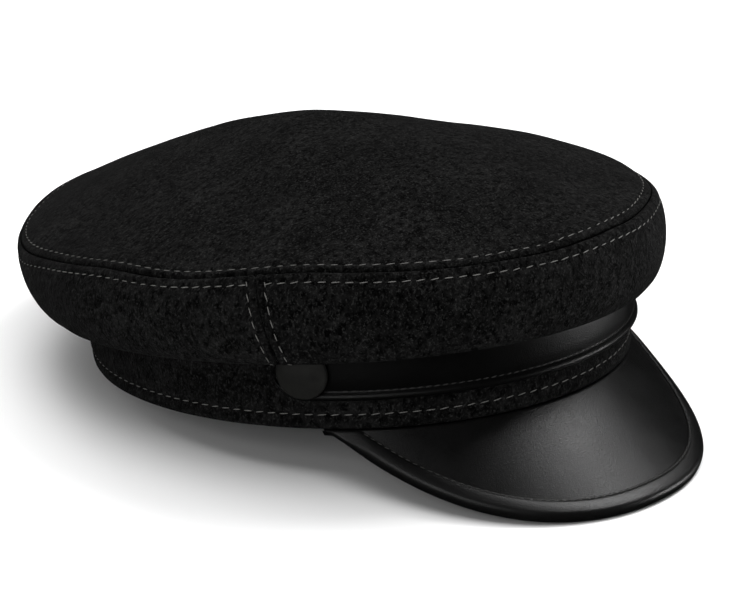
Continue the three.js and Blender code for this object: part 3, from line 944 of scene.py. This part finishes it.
GREY_THREAD = thread_material("grey_thread", (0.05, 0.05, 0.047), (0.19, 0.186, 0.178))
BLACK_THREAD = thread_material("black_thread", (0.006, 0.006, 0.006), (0.05, 0.05, 0.048))
chance = random.Random(11)


def path_marks(path, pitch, start, end, samples):
    """Walks along a path and gives its parameter at each step of the pitch."""
    marks = []
    walked, wanted = 0.0, pitch / 2
    last = path(start)[0]
    for sample in range(1, samples + 1):
        value = between(start, end, sample / samples)
        point = path(value)[0]
        step = (point - last).length
        while walked + step >= wanted:
            share = (wanted - walked) / step
            marks.append(between(between(start, end, (sample - 1) / samples), value, share))
            wanted += pitch
        walked += step
        last = point
    return marks


def sew(bm, path, pitch, length, thick, start, end, samples=400, skip=None, slant=6):
    """Adds a row of stitches along a path, which gives a point and a normal for a value."""
    nudge = (end - start) / samples / 2
    count = 0
    for mark in path_marks(path, pitch, start, end, samples):
        if skip and skip(mark):
            continue
        point, normal = path(mark)
        along = (path(mark + nudge)[0] - path(mark - nudge)[0]).normalized()
        turn = Matrix.Rotation(math.radians(slant + chance.uniform(-4, 4)), 3, normal)
        along = turn @ along
        across = normal.cross(along).normalized()
        size = chance.uniform(0.92, 1.06)
        half = length / 2 * size
        axes = Matrix((across * thick, normal * thick * 0.8, along * half)).transposed()
        place = Matrix.Translation(point + normal * thick * 0.35) @ axes.to_4x4()
        bmesh.ops.create_uvsphere(bm, u_segments=6, v_segments=6, radius=1, matrix=place)
        count += 1
    return count


# %% Rows on the crown
THREAD_RADIUS = 0.00018


def row_at(angle, distance):
    """The crown side's row that lies a distance below the top seam."""
    top = crown_side(angle, 0)
    low, high = 0.0, float(RISE_ROWS)
    for _ in range(14):
        middle = (low + high) / 2
        if (crown_side(angle, middle) - top).length < distance:
            low = middle
        else:
            high = middle
    return low


def share_at(angle, distance):
    """The crown top's share that lies a distance in from the top seam."""
    edge = crown_top(angle, 1)
    low, high = 0.8, 1.0
    for _ in range(14):
        middle = (low + high) / 2
        if (crown_top(angle, middle) - edge).length > distance:
            low = middle
        else:
            high = middle
    return high


felt_side = embossed(crown_side, side_relief)
felt_top = embossed(crown_top, top_relief)


def below_seam(angle):
    row = row_at(angle, TOP_THREAD_BELOW)
    return felt_side(angle, row), surface_frame(crown_side, angle, row)[1]


def above_seam(angle):
    share = share_at(angle, TOP_THREAD_ABOVE)
    return felt_top(angle, share), surface_frame(crown_top, angle, share)[1]


def beside_seam(side, offset):
    def path(row):
        angle = side * (side_seam_angle(row) + offset / SIDE_ARC)
        return felt_side(angle, row), surface_frame(crown_side, angle, row)[1]
    return path


def near_side_seam(angle):
    turned = abs((angle + 180) % 360 - 180)
    return abs(turned - side_seam_angle(1)) * SIDE_ARC < SIDE_THREAD + 0.001


def sewn_piece(bm, name, material):
    bmesh.ops.transform(bm, matrix=SEATED, verts=bm.verts)
    return finished(bm, name, material)


crown_thread = bmesh.new()
stitches = sew(crown_thread, below_seam, WOOL_PITCH, WOOL_STITCH, THREAD_RADIUS, -180, 180,
               skip=near_side_seam)
stitches += sew(crown_thread, above_seam, WOOL_PITCH, WOOL_STITCH, THREAD_RADIUS, -180, 180)
for side in (-1, 1):
    for offset in (-SIDE_THREAD, SIDE_THREAD):
        stitches += sew(crown_thread, beside_seam(side, offset), WOOL_PITCH, WOOL_STITCH,
                        THREAD_RADIUS, 0.6, 7.6, samples=60)
print(stitches, "stitches on the crown")
sewn_piece(crown_thread, "crown_stitches", GREY_THREAD)

# %% Rows on the band, the strap and the peak
LEATHER_PITCH = 0.0026
LEATHER_STITCH = 0.0018
LEATHER_THREAD = 0.00024


def on_band(angle):
    normal = oval_normal(BAND_HALF_WIDTH, BAND_HALF_LENGTH, angle)
    return band_point(angle, -0.0003, BAND_THREAD_UP), normal


def on_strap(angle):
    normal = oval_normal(BAND_HALF_WIDTH, BAND_HALF_LENGTH, angle)
    return band_point(angle, GAP + 0.0012, STRAP_LOW + STRAP_THREAD_UP), normal


def on_binding(angle):
    _, _, square = peak_frame(angle)
    width, slant = peak_width(angle), rim_slant(angle)
    leg_start = width - BINDING_WIDTH * slant
    leg_end = width - binding_radii(angle)[1] * slant
    row = LEG_ROWS * clamped(BINDING_THREAD * slant / max(leg_end - leg_start, 0.001))
    return binding_outer(angle, row), square


band_thread = bmesh.new()
stitches = sew(band_thread, on_band, WOOL_PITCH, WOOL_STITCH, THREAD_RADIUS, -180, 180)
print(stitches, "stitches on the band")
sewn_piece(band_thread, "band_stitches", GREY_THREAD)

strap_thread = bmesh.new()
stitches = sew(strap_thread, on_strap, LEATHER_PITCH, LEATHER_STITCH, LEATHER_THREAD, -50, 50)
print(stitches, "stitches on the strap")
sewn_piece(strap_thread, "strap_stitches", BLACK_THREAD)

peak_thread = bmesh.new()
stitches = sew(peak_thread, on_binding, LEATHER_PITCH, LEATHER_STITCH, LEATHER_THREAD, -47, 47)
print(stitches, "stitches on the peak")
sewn_piece(peak_thread, "peak_stitches", BLACK_THREAD)

# %% [markdown]
# ## The studio
# The cap stands on a plain pale floor. The camera is where the photographer's was: low in front of
# the cap's right side, far enough away for little perspective. Black things are drawn by what
# they reflect, so few things may be mirrored: a soft box that gives the peak its highlight, a low
# one for the strap, and a weak one at the right for the edges. The floor, the world and the two
# other lights brighten the cloth and the floor, but are kept out of reflections.

# %% Camera
VIEW_TURN = 46.603356
VIEW_RISE = 21.534512
VIEW_DISTANCE = 0.750
AIM_SIDEWAYS = 0.0030770
AIM_UP = 0.0144044
IMAGE_WIDTH = 730
FOCAL_PIXELS = 2113.6827
SENSOR = 36

camera_data = bpy.data.cameras.new("camera")
camera_data.sensor_width = SENSOR
camera_data.lens = FOCAL_PIXELS * SENSOR / IMAGE_WIDTH
camera_data.clip_end = 50
camera = bpy.data.objects.new("camera", camera_data)
bpy.context.scene.collection.objects.link(camera)
rightward = Vector((sine(VIEW_TURN), -cosine(VIEW_TURN), 0))
backward = Vector((-cosine(VIEW_TURN) * cosine(VIEW_RISE), -sine(VIEW_TURN) * cosine(VIEW_RISE),
                   sine(VIEW_RISE)))
upward = backward.cross(rightward)
aim = SEAT + rightward * AIM_SIDEWAYS + upward * AIM_UP
axes = Matrix((rightward, upward, backward)).transposed().to_4x4()
camera.matrix_world = Matrix.Translation(aim + backward * VIEW_DISTANCE) @ axes
bpy.context.scene.camera = camera
print("The lens is", round(camera_data.lens, 1), "mm")

# %% Floor
FLOOR_HALF = 6
floor_bm = bmesh.new()
bmesh.ops.create_grid(floor_bm, x_segments=1, y_segments=1, size=FLOOR_HALF)
floor_mesh = bpy.data.meshes.new("floor")
floor_bm.to_mesh(floor_mesh)
floor_bm.free()
floor = bpy.data.objects.new("floor", floor_mesh)
bpy.context.scene.collection.objects.link(floor)
floor_paint, _, floor_shader = new_material("floor_paint", 0.9, 0.1)
floor_shader.inputs["Base Color"].default_value = (0.94, 0.94, 0.94, 1)
floor_mesh.materials.append(floor_paint)
floor.visible_glossy = False

# %% Lights
LIGHTS = [
    {"name": "softbox_left", "at": (0.76, -0.24, 1.38), "size": 0.64, "power": 15.5, "seen": True},
    {"name": "softbox_right", "at": (-1.5, -0.5, 0.8), "size": 0.9, "power": 6, "seen": True},
    {"name": "softbox_back", "at": (0.8, 1.4, 1.3), "size": 1.2, "power": 16, "seen": False},
    {"name": "strip_left", "at": (1.15, -0.92, 0.10), "size": 0.3, "power": 8.0, "seen": True},
    {"name": "fill_above", "at": (-0.3, -0.2, 1.9), "size": 1.8, "power": 35, "seen": False},
]
world = bpy.data.worlds.new("studio")
bpy.context.scene.world = world
world.use_nodes = True
world.node_tree.nodes["Background"].inputs["Color"].default_value = (1, 1, 1, 1)
world.node_tree.nodes["Background"].inputs["Strength"].default_value = 0.16
world.cycles_visibility.glossy = False
for row in LIGHTS:
    lamp = bpy.data.lights.new(row["name"], "AREA")
    lamp.size = row["size"]
    lamp.energy = row["power"]
    light = bpy.data.objects.new(row["name"], lamp)
    light.visible_glossy = row["seen"]
    bpy.context.scene.collection.objects.link(light)
    place = Vector(row["at"])
    facing = place.to_track_quat("Z", "Y").to_matrix().to_4x4()
    light.matrix_world = Matrix.Translation(place) @ facing
bpy.context.scene.view_settings.view_transform = "Standard"
print(len(LIGHTS), "soft lights")
